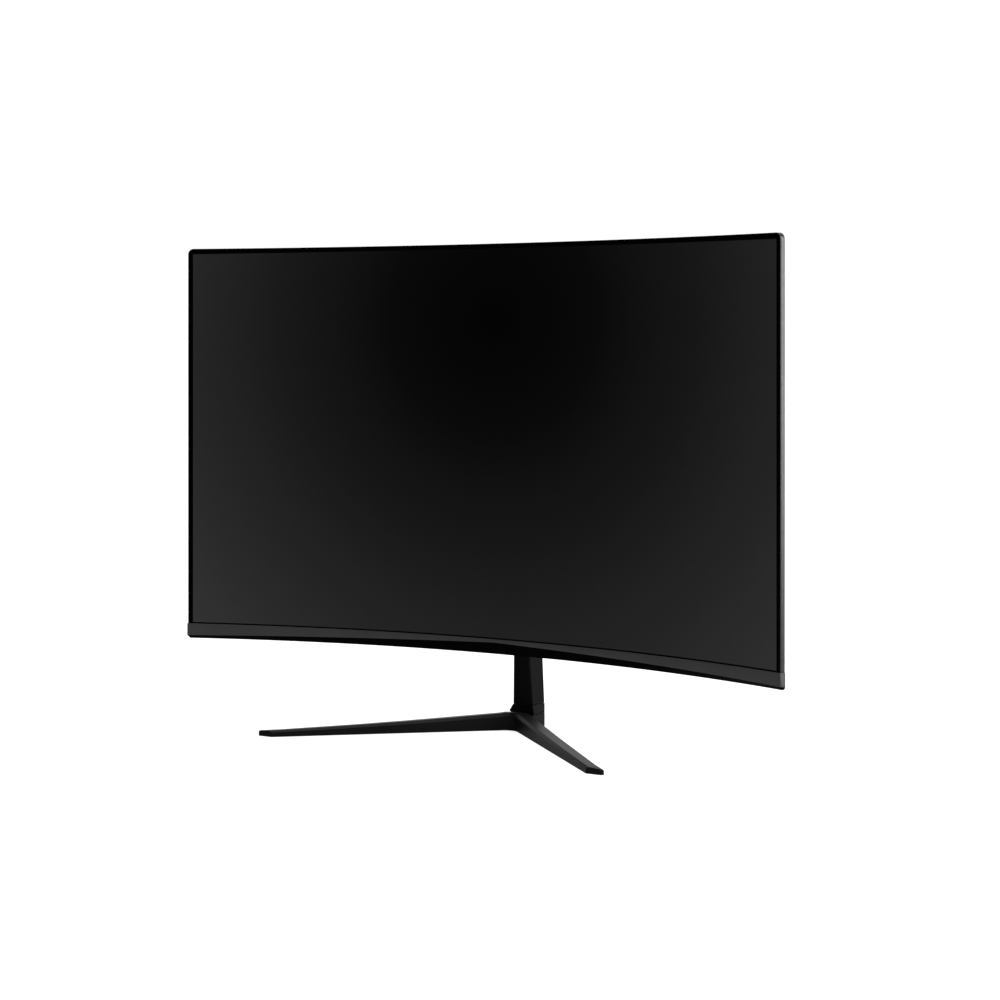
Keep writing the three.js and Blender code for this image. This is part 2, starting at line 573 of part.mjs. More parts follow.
function neckRearCover() {
  const [front, edge, chamfer] = [NECK_REAR - 2.3, NECK_REAR - 0.8, 0.8];
  const sections = NECK_SECTIONS.map(({ z, half }) => [[-half, front], [half, front], [half, edge],
    [half - chamfer, NECK_REAR], [-half + chamfer, NECK_REAR], [-half, edge]]
    .map(([x, y]) => new THREE.Vector3(x, y, z)));
  const holes = NECK_SCREWS.heights.map((z) => rod(NECK_SCREWS.bore, 70, 80, 'y', [0, 0, z], 16));
  return cut(loft(sections, sections[0].map((p) => [p.x, p.y])), ...holes);
}

function neckSpine() {
  const bar = block([-SPINE.half, SPINE.half], SPINE.y, [SPINE.bottom, NECK_TOP]);
  const taps = NECK_SCREWS.heights.map((z) => rod(NECK_SCREWS.bore, 66, 80, 'y', [0, 0, z], 16));
  return cut(bar, rod(3.3, 10, 27, 'z', [0, THUMBSCREW.y, 0], 16), ...taps);
}

const neckScrew = (z) => turned([[0, 67], [1.5, 67], [1.5, 78.3], [3, 78.3], [2.6, 79], [0, 79]], 'y',
  [0, 0, z], 16);

// A flared collar between the neck and the foot: a ledge above, an undercut below.
function neckCollar() {
  const rearHalf = 12;
  const sections = COLLAR.map(({ z, half, front }) => {
    const rear = Math.min(rearHalf, half);
    return [[-half, front], [half, front], [rear, NECK_REAR], [-rear, NECK_REAR]]
      .map(([x, y]) => new THREE.Vector3(x, y, z));
  });
  const flat = [[-1, 0], [1, 0], [1, 1], [-1, 1]];
  const bore = block([-SPINE.half - GAP, SPINE.half + GAP], [SPINE.y[0] - GAP, SPINE.y[1] + GAP], [10, 30]);
  return cut(loft(sections, flat), bore);
}

// ---- V-shaped foot ----
// Height of a leg's inside wall, height of its ridge and its width, at a distance from the corner.
const innerHeight = (s) => 14.9 - 0.058 * s + 0.00007 * s * s;
const ridgeHeight = (s) => innerHeight(s) + 3.4 - 0.0065 * s;
const legWidth = (s) => 15.6 - 0.00003 * s * s;

// Stations along the inside edge of one leg, and round the inside corner to the middle.
function legStations() {
  const { angle, cornerY, length, insideRadius, tipTrim } = LEG;
  const halfCorner = Math.PI / 2 - angle;
  const tangent = insideRadius / Math.tan(halfCorner);
  const centreY = cornerY - insideRadius / Math.sin(halfCorner);
  const arc = Array.from({ length: 4 }, (_, i) => i * angle / 4).map((turn) => ({
    x: insideRadius * Math.sin(turn), y: centreY + insideRadius * Math.cos(turn),
    turn, s: 0, skew: 0, trim: 0,
  }));
  const tipSkew = 1 / Math.tan(angle);
  const along = (s, skew = 0, trim = 0) => ({
    x: s * Math.cos(angle), y: cornerY - s * Math.sin(angle), turn: angle, s, skew, trim,
  });
  const straight = [tangent, 60, 110, 160, 205, 236].map((s) => along(s));
  return [...arc, ...straight, along(length - 1, tipSkew - 0.17), along(length, tipSkew, tipTrim)];
}

// One section across a leg; skew slants it along the leg, trim takes its outer corner back at the tip.
function legSection({ x, y, turn, s, skew, trim }) {
  const outer = legWidth(s) - trim;
  const ridge = ridgeHeight(s);
  return [[0, BASE_BOTTOM], [0, innerHeight(s)], [2.2, ridge], [outer - 1.5, ridge - 1], [outer, ridge - 2.2],
    [outer, BASE_BOTTOM]].map(([w, h]) => new THREE.Vector3(
    x + w * (Math.sin(turn) + skew * Math.cos(turn)), y + w * (Math.cos(turn) - skew * Math.sin(turn)), h));
}

function vBase() {
  const right = legStations().map(legSection);
  const left = legStations().slice(1).map(legSection).map((section) =>
    section.map((p) => new THREE.Vector3(-p.x, p.y, p.z))).reverse();
  const band = loft([...left, ...right],
    [[0, 0], [0, 14], [2.2, 17], [14, 16], [15.6, 14.8], [15.6, 0]]);
  const hub = new THREE.ExtrudeGeometry(roundedRectangle([-HUB.half, HUB.half], HUB.y, 3),
    { depth: HUB.top - BASE_BOTTOM, bevelEnabled: false, curveSegments: 4 }).translate(0, 0, BASE_BOTTOM);
  const pockets = Object.values(FEET).map(([x, y]) =>
    rod(FOOT.radius + GAP, -1, BASE_BOTTOM + FOOT.depth + GAP, 'z', [x, y, 0], 16));
  const screwHole = [rod(THUMBSCREW.recessRadius, -1, THUMBSCREW.recessTop, 'z', [0, THUMBSCREW.y, 0], 24),
    rod(3.6, 4, 20, 'z', [0, THUMBSCREW.y, 0], 16)];
  return cut(join(band, hub), ...pockets, ...screwHole);
}

const rubberFoot = ([x, y]) => rod(FOOT.radius, 0, BASE_BOTTOM + FOOT.depth, 'z', [x, y, 0], 16);

function baseThumbscrew() {
  const { headRadius, y } = THUMBSCREW;
  const body = turned([[0, 1.2], [headRadius - 0.6, 1.2], [headRadius, 1.8], [headRadius, 5.4], [3, 5.4],
    [3, 24], [2.4, 24.6], [0, 24.6]], 'z', [0, y, 0], 20);
  return cut(body, block([-9, 9], [y - 0.9, y + 0.9], [0, 2.8]));
}

// ---- assembly ----
const object = new THREE.Group();
object.position.set(0, DEPTH_SHIFT, 0);

function add(name, geometry, finish) {
  const mesh = new THREE.Mesh(closed(geometry), finish);
  mesh.name = name;
  object.add(mesh);
}

// stand
add('v_base', vBase(), blackSteel());
for (const [name, place] of Object.entries(FEET)) add(name, rubberFoot(place), rubber());
add('base_thumbscrew', baseThumbscrew(), bareSteel());
add('neck_collar', neckCollar(), satinBlack());
add('neck_front_cover', neckFrontCover(), satinBlack());
add('neck_rear_cover', neckRearCover(), satinBlack());
add('neck_spine', neckSpine(), bareSteel());
NECK_SCREWS.heights.forEach((z, i) =>
  add(`neck_screw_${['lower', 'upper'][i]}`, neckScrew(z), blackSteel()));

// tilt hinge
add('hinge_fork', hingeFork(), blackSteel());
add('hinge_pin', hingePin(), bareSteel());
add('friction_washer_left', frictionWasher(-1), bareSteel());
add('friction_washer_right', frictionWasher(1), bareSteel());
add('hinge_disc_spring', discSpring(), bareSteel());
add('hinge_nut', hingeNut(), bareSteel());
add('hinge_plate', hingePlate(), blackSteel());
cornerPoints(HINGE_PLATE.screwHalf).forEach((place, i) =>
  add(`hinge_screw_${i + 1}`, hingeScrew(place), blackSteel()));

// head, from the front to the rear
add('front_frame', frontFrame(), material(0x2a2a2c, 0.35, 0.3));
add('chin_bezel', chinBezel(), material(0x303032, 0.45));
add('status_light_lens', statusLightLens(), material(0x34373a, 0.2));
add('lcd_panel', lcdPanel(), material(0x0b0b0c, 0.35));
add('optical_film', curvedSlab(...LAYERS.film), material(0xe8e9ea, 0.5));
add('light_guide', curvedSlab(...LAYERS.lightGuide), material(0xdfe8ea, 0.15));
add('led_strip', curvedSlab(...LAYERS.ledStrip), material(0xd8d8cc, 0.5));
add('reflector_sheet', curvedSlab(...LAYERS.reflector), material(0xf2f2f2, 0.4));
add('panel_tray', panelTray(), bareSteel());
add('rear_cover', rearCover(), satinBlack());
COVER_SCREWS.forEach((place, i) => add(`cover_screw_${i + 1}`, coverScrew(place), blackSteel()));
add('board_tray', boardTray(), bareSteel());
add('vesa_bracket', vesaBracket(), bareSteel());
add('main_board', mainBoard(), circuitBoard());
add('power_board', powerBoard(), circuitBoard());
add('timing_board', timingBoard(), circuitBoard());
add('panel_flat_cable', panelFlatCable(), material(0xd9d6c8, 0.5));
add('dc_inlet', socket(SOCKETS.dc_inlet, barrelPin(3.2, 1)), material(0x101011, 0.5));
for (const name of ['hdmi_port_inner', 'hdmi_port_outer', 'display_port']) {
  add(name, socket(SOCKETS[name], flatTongue), connectorMetal());
}
add('audio_jack', socket(SOCKETS.audio_jack, plainBore(1.8)), material(0x121213, 0.5));
add('speaker_left', speaker(-1), material(0x141415, 0.7));
add('speaker_right', speaker(1), material(0x141415, 0.7));

// joystick
add('joystick_board', joystickBoard(), circuitBoard());
add('joystick_housing', joystickHousing(), material(0x1a1a1c, 0.5));
add('joystick_ring', joystickRing(), bareSteel());
add('joystick_stem', joystickStem(), bareSteel());
add('joystick_cap', joystickCap(), material(0x1b1b1d, 0.55));

export default object;
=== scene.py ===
"""Looks of a curved desktop monitor on a V-shaped foot: camera, light, materials and finished meshes."""

import json
import math

import bmesh
import bpy
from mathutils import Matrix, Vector


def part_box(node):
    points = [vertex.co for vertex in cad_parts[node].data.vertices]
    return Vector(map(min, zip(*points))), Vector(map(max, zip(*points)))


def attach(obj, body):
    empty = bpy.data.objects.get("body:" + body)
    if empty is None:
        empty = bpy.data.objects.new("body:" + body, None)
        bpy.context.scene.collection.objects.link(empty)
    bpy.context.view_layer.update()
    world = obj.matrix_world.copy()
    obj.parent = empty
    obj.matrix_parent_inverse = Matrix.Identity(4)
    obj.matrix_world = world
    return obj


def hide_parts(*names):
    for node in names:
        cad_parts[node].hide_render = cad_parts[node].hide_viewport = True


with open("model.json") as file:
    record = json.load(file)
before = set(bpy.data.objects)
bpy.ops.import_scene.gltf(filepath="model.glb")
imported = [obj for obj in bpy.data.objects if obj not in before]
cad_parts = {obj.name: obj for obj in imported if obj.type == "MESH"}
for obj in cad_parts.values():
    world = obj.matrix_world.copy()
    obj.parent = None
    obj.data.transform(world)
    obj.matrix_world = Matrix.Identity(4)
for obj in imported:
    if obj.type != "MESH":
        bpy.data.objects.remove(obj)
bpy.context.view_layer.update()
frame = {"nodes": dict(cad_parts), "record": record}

MM = 0.001
CURVE_STEPS = 120               # facets across a full-width curved piece
BODIES = frame["record"]["behaviour"]["bodies"]
BODY_OF = {node: body for body, nodes in BODIES.items() for node in nodes}
SLOT_OF = {entry["node"]: entry["material_slot"] for entry in frame["record"]["subparts"]}

# ---- the curve that the head follows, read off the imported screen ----
CURVE_RADIUS = 1000 * MM
GLASS_THICKNESS = 1.3 * MM
glass_low, glass_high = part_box("lcd_panel")
GLASS_Y = glass_high.y - GLASS_THICKNESS
GLASS_HALF_ARC = CURVE_RADIUS * math.asin(glass_high.x / CURVE_RADIUS)


def on_curve(arc, depth, z):
    """A point on the head: arc along the glass, depth behind its front, height z."""
    angle = arc / CURVE_RADIUS
    radius = CURVE_RADIUS + depth
    return Vector((radius * math.sin(angle), radius * math.cos(angle) - CURVE_RADIUS + GLASS_Y, z))


# ---- camera ----
def make_camera():
    data = bpy.data.cameras.new("camera")
    data.sensor_width = 36
    data.lens = 83.43
    data.shift_y = -0.157
    data.clip_end = 100
    camera = bpy.data.objects.new("camera", data)
    camera.location = (1.2610, GLASS_Y - 1.9665, 0.3957)
    camera.rotation_euler = (math.radians(90), 0, math.radians(32.53))
    bpy.context.scene.collection.objects.link(camera)
    bpy.context.scene.camera = camera


# ---- light ----
def area_light(name, location, target, size, power):
    data = bpy.data.lights.new(name, "AREA")
    data.shape = "RECTANGLE"
    data.size, data.size_y = size
    data.energy = power
    light = bpy.data.objects.new(name, data)
    light.location = location
    light.rotation_euler = (Vector(target) - Vector(location)).to_track_quat("-Z", "Y").to_euler()
    bpy.context.scene.collection.objects.link(light)


def make_world():
    world = bpy.data.worlds.new("studio")
    world.use_nodes = True
    nodes, links = world.node_tree.nodes, world.node_tree.links
    nodes.clear()
    output = nodes.new("ShaderNodeOutputWorld")
    background = nodes.new("ShaderNodeBackground")
    coordinates = nodes.new("ShaderNodeTexCoord")
    # a soft dark flag stands in the studio to the front left, and shows in the screen
    flag = nodes.new("ShaderNodeVectorMath")
    flag.operation = "DOT_PRODUCT"
    flag.inputs[1].default_value = Vector((-0.62, -0.78, 0.0)).normalized()
    ramp = nodes.new("ShaderNodeValToRGB")
    ramp.color_ramp.elements[0].position = 0.0
    ramp.color_ramp.elements[0].color = (1, 1, 1, 1)
    ramp.color_ramp.elements[1].position = 0.93
    ramp.color_ramp.elements[1].color = (0.0, 0.0, 0.0, 1)
    ramp.color_ramp.elements.new(0.75).color = (0.15, 0.15, 0.15, 1)
    links.new(coordinates.outputs["Generated"], flag.inputs[0])
    links.new(flag.outputs["Value"], ramp.inputs["Fac"])
    links.new(ramp.outputs["Color"], background.inputs["Color"])
    background.inputs["Strength"].default_value = 1.0
    # seen directly, the studio's backdrop is plain white
    backdrop = nodes.new("ShaderNodeBackground")
    backdrop.inputs["Strength"].default_value = 1.3
    direct = nodes.new("ShaderNodeLightPath")
    choose = nodes.new("ShaderNodeMixShader")
    links.new(direct.outputs["Is Camera Ray"], choose.inputs["Fac"])
    links.new(background.outputs["Background"], choose.inputs[1])
    links.new(backdrop.outputs["Background"], choose.inputs[2])
    links.new(choose.outputs["Shader"], output.inputs["Surface"])
    bpy.context.scene.world = world


def make_floor():
    bpy.ops.mesh.primitive_plane_add(size=40, location=(0, 0, 0))
    floor = bpy.context.object
    floor.name = "floor"
    material = new_material("floor_white")
    shader = material.node_tree.nodes["Principled BSDF"]
    shader.inputs["Base Color"].default_value = (0.45, 0.45, 0.45, 1)
    shader.inputs["Roughness"].default_value = 0.9
    shader.inputs["Specular IOR Level"].default_value = 0.1
    shader.inputs["Emission Color"].default_value = (1, 1, 1, 1)
    # seen directly, the floor is as white as the backdrop; it lights nothing with that extra white
    seen = material.node_tree.nodes.new("ShaderNodeLightPath")
    glow = material.node_tree.nodes.new("ShaderNodeMath")
    glow.operation = "MULTIPLY"
    glow.inputs[1].default_value = 0.75
    material.node_tree.links.new(seen.outputs["Is Camera Ray"], glow.inputs[0])
    material.node_tree.links.new(glow.outputs["Value"], shader.inputs["Emission Strength"])
    floor.data.materials.append(material)


# ---- materials ----
def new_material(name):
    material = bpy.data.materials.new(name)
    material.use_nodes = True
    return material


def add_noise(tree, scale, detail=3.0, stretch=(1, 1, 1)):
    """Noise over the object's own coordinates; scale is in features per metre."""
    coordinates = tree.nodes.new("ShaderNodeTexCoord")
    mapping = tree.nodes.new("ShaderNodeMapping")
    mapping.inputs["Scale"].default_value = stretch
    noise = tree.nodes.new("ShaderNodeTexNoise")
    noise.inputs["Scale"].default_value = scale
    noise.inputs["Detail"].default_value = detail
    tree.links.new(coordinates.outputs["Object"], mapping.inputs["Vector"])
    tree.links.new(mapping.outputs["Vector"], noise.inputs["Vector"])
    return noise.outputs["Fac"]


def ramp_between(tree, factor, low, high, colour_low, colour_high):
    ramp = tree.nodes.new("ShaderNodeValToRGB")
    ramp.color_ramp.elements[0].position = low
    ramp.color_ramp.elements[1].position = high
    ramp.color_ramp.elements[0].color = (*colour_low, 1)
    ramp.color_ramp.elements[1].color = (*colour_high, 1)
    tree.links.new(factor, ramp.inputs["Fac"])
    return ramp.outputs["Color"]


def map_range(tree, factor, low, high):
    node = tree.nodes.new("ShaderNodeMapRange")
    node.inputs["To Min"].default_value = low
    node.inputs["To Max"].default_value = high
    tree.links.new(factor, node.inputs["Value"])
    return node.outputs["Result"]


def add_bump(tree, shader, height, strength, distance):
    bump = tree.nodes.new("ShaderNodeBump")
    bump.inputs["Strength"].default_value = strength
    bump.inputs["Distance"].default_value = distance
    tree.links.new(height, bump.inputs["Height"])
    tree.links.new(bump.outputs["Normal"], shader.inputs["Normal"])


def surface(name, colour, roughness, grain=900, depth=0.02 * MM, specular=0.5, metallic=0.0, vary=0.15,
            stretch=(1, 1, 1), roughness_spread=0.06):
    """A moulded or coated surface: fine grain in its relief, slight drift in colour and gloss."""
    material = new_material(name)
    tree = material.node_tree
    shader = tree.nodes["Principled BSDF"]
    drift = add_noise(tree, 14, 2.0)
    dark = [c * (1 - vary) for c in colour]
    light = [min(1, c * (1 + vary)) for c in colour]
    tree.links.new(ramp_between(tree, drift, 0.3, 0.7, dark, light), shader.inputs["Base Color"])
    fine = add_noise(tree, grain, 2.0, stretch)
    spread = map_range(tree, fine, roughness - roughness_spread, roughness + roughness_spread)
    tree.links.new(spread, shader.inputs["Roughness"])
    shader.inputs["Metallic"].default_value = metallic
    shader.inputs["Specular IOR Level"].default_value = specular
    if depth:
        add_bump(tree, shader, fine, 0.6, depth)
    return material


def screen_surface():
    """Anti-glare screen: near black in the upper middle, with a painted reflection that turns its colour a
    little greyer towards the corners.
    """
    material = new_material("screen_black_painted_reflection")
    tree = material.node_tree
    shader = tree.nodes["Principled BSDF"]
    coordinates = tree.nodes.new("ShaderNodeTexCoord")
    mapping = tree.nodes.new("ShaderNodeMapping")
    mapping.inputs["Location"].default_value = (0, 0, -0.42 * 2.1)
    mapping.inputs["Scale"].default_value = (2.0, 0, 2.1)
    distance = tree.nodes.new("ShaderNodeVectorMath")
    distance.operation = "LENGTH"
    # painted reflection: the base colour greys with distance from the upper middle of the glass, standing in
    # for studio light reflected in the screen
    ramp = tree.nodes.new("ShaderNodeValToRGB")
    stops = ramp.color_ramp.elements
    for place in (0.25, 0.5, 0.75):
        stops.new(place)
    for stop in stops:
        grey = 0.0005 + 0.048 * stop.position ** 2
        stop.color = (grey, grey, grey, 1)
    tree.links.new(coordinates.outputs["Object"], mapping.inputs["Vector"])
    tree.links.new(mapping.outputs["Vector"], distance.inputs[0])
    tree.links.new(distance.outputs["Value"], ramp.inputs["Fac"])
    tree.links.new(ramp.outputs["Color"], shader.inputs["Base Color"])
    fine = add_noise(tree, 2500, 2.0)
    tree.links.new(map_range(tree, fine, 0.3, 0.4), shader.inputs["Roughness"])
    shader.inputs["Specular IOR Level"].default_value = 0.03
    add_bump(tree, shader, fine, 0.5, 0.003 * MM)
    return material


MATERIALS = {
    "base_metal": surface("base_black", (0.004, 0.004, 0.0043), 0.4, grain=1600, depth=0.012 * MM,
                          specular=0.09),
    "foot_rubber": surface("foot_rubber_black", (0.012, 0.012, 0.012), 0.85, grain=600, depth=0.05 * MM),
    "thumbscrew_steel": surface("zinc_steel", (0.42, 0.42, 0.44), 0.32, metallic=1.0, grain=300,
                                stretch=(1, 1, 12)),
    "neck_plastic": surface("neck_black", (0.0035, 0.0035, 0.0038), 0.3, specular=0.04),
    "inner_steel": surface("galvanised_steel", (0.5, 0.5, 0.52), 0.4, metallic=1.0, grain=60, vary=0.2,
                           depth=0),
    "hinge_black_steel": surface("coated_steel", (0.012, 0.012, 0.013), 0.38, specular=0.5),
    "black_screw": surface("black_zinc", (0.03, 0.03, 0.032), 0.35, metallic=0.7, grain=1500),
    "hinge_bright_steel": surface("plated_steel", (0.45, 0.45, 0.47), 0.28, metallic=1.0, grain=500,
                                  stretch=(12, 1, 1)),
    "frame_plastic": surface("frame_black", (0.006, 0.006, 0.0064), 0.3, specular=0.3),
    "chin_plastic": surface("chin_grey", (0.032, 0.032, 0.0335), 0.42, grain=1300, depth=0.015 * MM,
                            specular=0.45),
    "status_lens": surface("smoked_lens", (0.03, 0.032, 0.035), 0.15, depth=0),
    "screen_glass": screen_surface(),
    "film_plastic": surface("optical_white", (0.82, 0.82, 0.83), 0.5, depth=0),
    "light_guide_acrylic": surface("acrylic_clear", (0.8, 0.84, 0.84), 0.1, depth=0),
    "led_strip_board": surface("led_board_white", (0.75, 0.74, 0.68), 0.5),
    "reflector_film": surface("reflector_white", (0.88, 0.88, 0.88), 0.4, depth=0),
    "cover_plastic": surface("cover_black", (0.012, 0.012, 0.013), 0.5, grain=1100, depth=0.05 * MM,
                             specular=0.4),
    "circuit_board": surface("solder_mask_green", (0.015, 0.09, 0.04), 0.45, grain=220, vary=0.35),
    "ribbon_cable": surface("ribbon_white", (0.62, 0.6, 0.52), 0.5, grain=400, stretch=(30, 1, 1)),
    "socket_plastic": surface("socket_black", (0.012, 0.012, 0.012), 0.45),
    "socket_metal": surface("nickel_shell", (0.55, 0.54, 0.52), 0.25, metallic=1.0, grain=500),
    "speaker_plastic": surface("speaker_black", (0.015, 0.015, 0.015), 0.7),
    "joystick_plastic": surface("joystick_black", (0.014, 0.014, 0.015), 0.5, grain=1400),
    "joystick_metal": surface("joystick_steel", (0.45, 0.45, 0.47), 0.3, metallic=1.0),
}
BLACK_BORDER = surface("border_black", (0.0003, 0.0003, 0.0003), 0.5, depth=0, specular=0.01)
# painted shade: the chin's downward-facing bevel gets a near-black colour for the shade it lies in, far
# darker than the chin's own grey
BEVEL_PAINTED_SHADE = surface("bevel_painted_shade", (0.0006, 0.0006, 0.0006), 0.6, specular=0.02)


# ---- mesh making ----
def add_piece(name, mesh, node, materials=()):
    """A finished piece that stands for one CAD node, on that node's body."""
    piece = bpy.data.objects.new(name, mesh)
    bpy.context.scene.collection.objects.link(piece)
    for material in materials or [MATERIALS[SLOT_OF[node]]]:
        mesh.materials.append(material)
    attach(piece, BODY_OF[node])
    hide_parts(node)
    return piece


def smooth_by_angle(mesh, degrees):
    mesh.polygons.foreach_set("use_smooth", [True] * len(mesh.polygons))
    made = bmesh.new()
    made.from_mesh(mesh)
    for edge in made.edges:
        edge.smooth = len(edge.link_faces) == 2 and edge.calc_face_angle(0) < math.radians(degrees)
    made.to_mesh(mesh)
    made.free()


def clean_copy(node):
    """The node's mesh with shared vertices and its flat faces whole again."""
    mesh = frame["nodes"][node].data.copy()
    mesh.materials.clear()
    made = bmesh.new()
    made.from_mesh(mesh)
    bmesh.ops.remove_doubles(made, verts=made.verts, dist=0.002 * MM)
    bmesh.ops.dissolve_limit(made, angle_limit=math.radians(0.4), verts=made.verts, edges=made.edges)
    made.to_mesh(mesh)
    made.free()
    return mesh


def eased(node, width, segments=2, angle=28):
    """The CAD node with its hard edges rounded, as a moulded or machined piece has them."""
    mesh = clean_copy(node)
    piece = add_piece(f"{node}_finish", mesh, node)
    bevel = piece.modifiers.new("eased_edges", "BEVEL")
    bevel.width = width
    bevel.segments = segments
    bevel.limit_method = "ANGLE"
    bevel.angle_limit = math.radians(angle)
    bevel.use_clamp_overlap = True
    bevel.harden_normals = False
    bevel.miter_outer = "MITER_ARC"
    smooth_by_angle(mesh, angle)
    return piece


def mesh_from_loft(name, sections):
    """A skin over matching closed sections, with quads along it and a face at each end."""
    made = bmesh.new()
    rows = [[made.verts.new(point) for point in section] for section in sections]
    count = len(sections[0])
    for row, following in zip(rows, rows[1:]):
        for j in range(count):
            k = (j + 1) % count
            made.faces.new((row[j], row[k], following[k], following[j]))
    made.faces.new(list(reversed(rows[0])))
    made.faces.new(rows[-1])
    bmesh.ops.recalc_face_normals(made, faces=made.faces)
    mesh = bpy.data.meshes.new(name)
    made.to_mesh(mesh)
    made.free()
    return mesh


def arc_stops(half_arc, steps):
    return [half_arc * (2 * i / steps - 1) for i in range(steps + 1)]


def rounded(points, radius, steps=3):
    """A closed 2-D outline with its corners rounded; radius may be one number or one per corner."""
    radii = radius if isinstance(radius, (list, tuple)) else [radius] * len(points)
    made = []
    for i, point in enumerate(points):
        corner = Vector(point)
        before = (Vector(points[i - 1]) - corner)
        after = (Vector(points[(i + 1) % len(points)]) - corner)
        r = min(radii[i], 0.45 * before.length, 0.45 * after.length)
        if r <= 0:
            made.append(tuple(corner))
            continue
        start = corner + before.normalized() * r
        end = corner + after.normalized() * r
        for k in range(steps + 1):
            t = k / steps
            made.append(tuple((1 - t) ** 2 * start + 2 * t * (1 - t) * corner + t * t * end))
    return made


# ---- screen ----
BORDER = 4.4 * MM
GLASS_CORNER = 4.5 * MM
BORDER_GROWTH = 1.0 * MM        # how much wider the top border is at its ends than in the middle


def make_screen():
    bottom, top = glass_low.z, glass_high.z
    ends = [GLASS_HALF_ARC - inset * MM for inset in (0, 0.35, 1.3, 2.8)]
    stops = [-arc for arc in ends] + arc_stops(GLASS_HALF_ARC - BORDER, CURVE_STEPS) + ends[::-1]
    levels = [bottom, bottom + 3.9 * MM, (bottom + top) / 2, top - 3.3 * MM, top]
    made = bmesh.new()

    def height(arc, level):
        """Level of the glass here: rounded upper corners, and a top border that widens to the ends."""
        if level == levels[-1]:
            return top - corner_drop(arc, GLASS_HALF_ARC, GLASS_CORNER)
        return level - BORDER_GROWTH * (arc / GLASS_HALF_ARC) ** 2 if level == levels[-2] else level

    front = [[made.verts.new(on_curve(arc, 0, height(arc, z))) for z in levels] for arc in stops]
    rear = [[made.verts.new(on_curve(arc, GLASS_THICKNESS, height(arc, z))) for z in levels] for arc in stops]
    for i in range(len(stops) - 1):
        for j in range(len(levels) - 1):
            picture = len(ends) - 1 < i < len(stops) - len(ends) - 1 and 0 < j < len(levels) - 2
            face = made.faces.new((front[i][j], front[i + 1][j], front[i + 1][j + 1], front[i][j + 1]))
            face.material_index = 0 if picture else 1
            back = made.faces.new((rear[i][j], rear[i][j + 1], rear[i + 1][j + 1], rear[i + 1][j]))
            back.material_index = 1
        for j in (0, len(levels) - 1):
            edge = made.faces.new((front[i][j], front[i + 1][j], rear[i + 1][j], rear[i][j]))
            edge.material_index = 1
    for i in (0, len(stops) - 1):
        for j in range(len(levels) - 1):
            edge = made.faces.new((front[i][j], front[i][j + 1], rear[i][j + 1], rear[i][j]))
            edge.material_index = 1
    bmesh.ops.recalc_face_normals(made, faces=made.faces)
    mesh = bpy.data.meshes.new("screen")
    made.to_mesh(mesh)
    made.free()
    smooth_by_angle(mesh, 30)
    add_piece("screen", mesh, "lcd_panel", [MATERIALS["screen_glass"], BLACK_BORDER])


# ---- front frame and chin ----
HEAD_HALF_ARC = 355.1 * MM
HEAD_TOP = 496 * MM
CORNER = 6 * MM
RIM = 1.2 * MM
FRAME_FRONT, FRAME_SEAM = -0.4 * MM, 5.2 * MM
CHIN_TOP, CHIN_BOTTOM, CHIN_HALF_ARC, CHIN_CORNER = 97 * MM, 81 * MM, 355.8 * MM, 3 * MM
CHIN_FRONT, CHIN_BEVEL_DEPTH, CHIN_BOW = -1 * MM, 3 * MM, 0.8 * MM
PICTURE_HALF_ARC = 349.2 * MM


def make_front_frame():
    """The rim as one smooth sweep, with its front edges rounded over."""
    path = [(-HEAD_HALF_ARC, CHIN_TOP + 0.3 * MM, 1, 0), (-HEAD_HALF_ARC, 300 * MM, 1, 0)]
    for i in range(13):
        turn = math.radians(7.5 * i)
        path.append((-HEAD_HALF_ARC + CORNER * (1 - math.cos(turn)), HEAD_TOP - CORNER * (1 - math.sin(turn)),
                     math.cos(turn), -math.sin(turn)))
    middle = [(arc, HEAD_TOP, 0, -1) for arc in arc_stops(HEAD_HALF_ARC - CORNER, CURVE_STEPS)[1:-1]]
    mirrored = [(-arc, z, -in_x, in_z) for arc, z, in_x, in_z in reversed(path)]
    section = [(0, FRAME_FRONT), (RIM, FRAME_FRONT), (RIM, 1.6 * MM), (4.9 * MM, 1.6 * MM),
               (4.9 * MM, 2.4 * MM), (RIM, 2.4 * MM), (RIM, FRAME_SEAM), (0, FRAME_SEAM)]
    section = rounded(section, [0.5 * MM, 0.25 * MM, 0, 0.1 * MM, 0.1 * MM, 0, 0.1 * MM, 0.2 * MM])
    sections = [[on_curve(arc + inset * in_x, depth, z + inset * in_z) for inset, depth in section]
                for arc, z, in_x, in_z in path + middle + mirrored]
    mesh = mesh_from_loft("front_frame", sections)
    for i, face in enumerate(mesh.polygons):
        face.material_index = 1 if 3 <= i % len(section) <= 8 else 0
    smooth_by_angle(mesh, 40)
    add_piece("front_frame_finish", mesh, "front_frame", [MATERIALS["frame_plastic"], BLACK_BORDER])


def corner_drop(arc, half_arc, radius):
    """How far the outline has left its straight edge at this place along a rounded corner."""
    into = min(radius, radius - (half_arc - abs(arc)))
    return radius - math.sqrt(radius ** 2 - into ** 2) if into > 0 else 0


def chin_bottom(arc):
    """Height of the chin's lower edge."""
    bow = CHIN_BOW * (1 - (arc / CHIN_HALF_ARC) ** 2)
    return CHIN_BOTTOM + bow + corner_drop(arc, CHIN_HALF_ARC, CHIN_CORNER)


def chin_arris(arc):
    """Height of the edge between the chin's face and the bevel below it."""
    t = abs(arc) / PICTURE_HALF_ARC
    return max(93.7 * MM - 9.2 * MM * (1.25 * t - 0.25 * t * t), chin_bottom(arc) + 0.6 * MM)


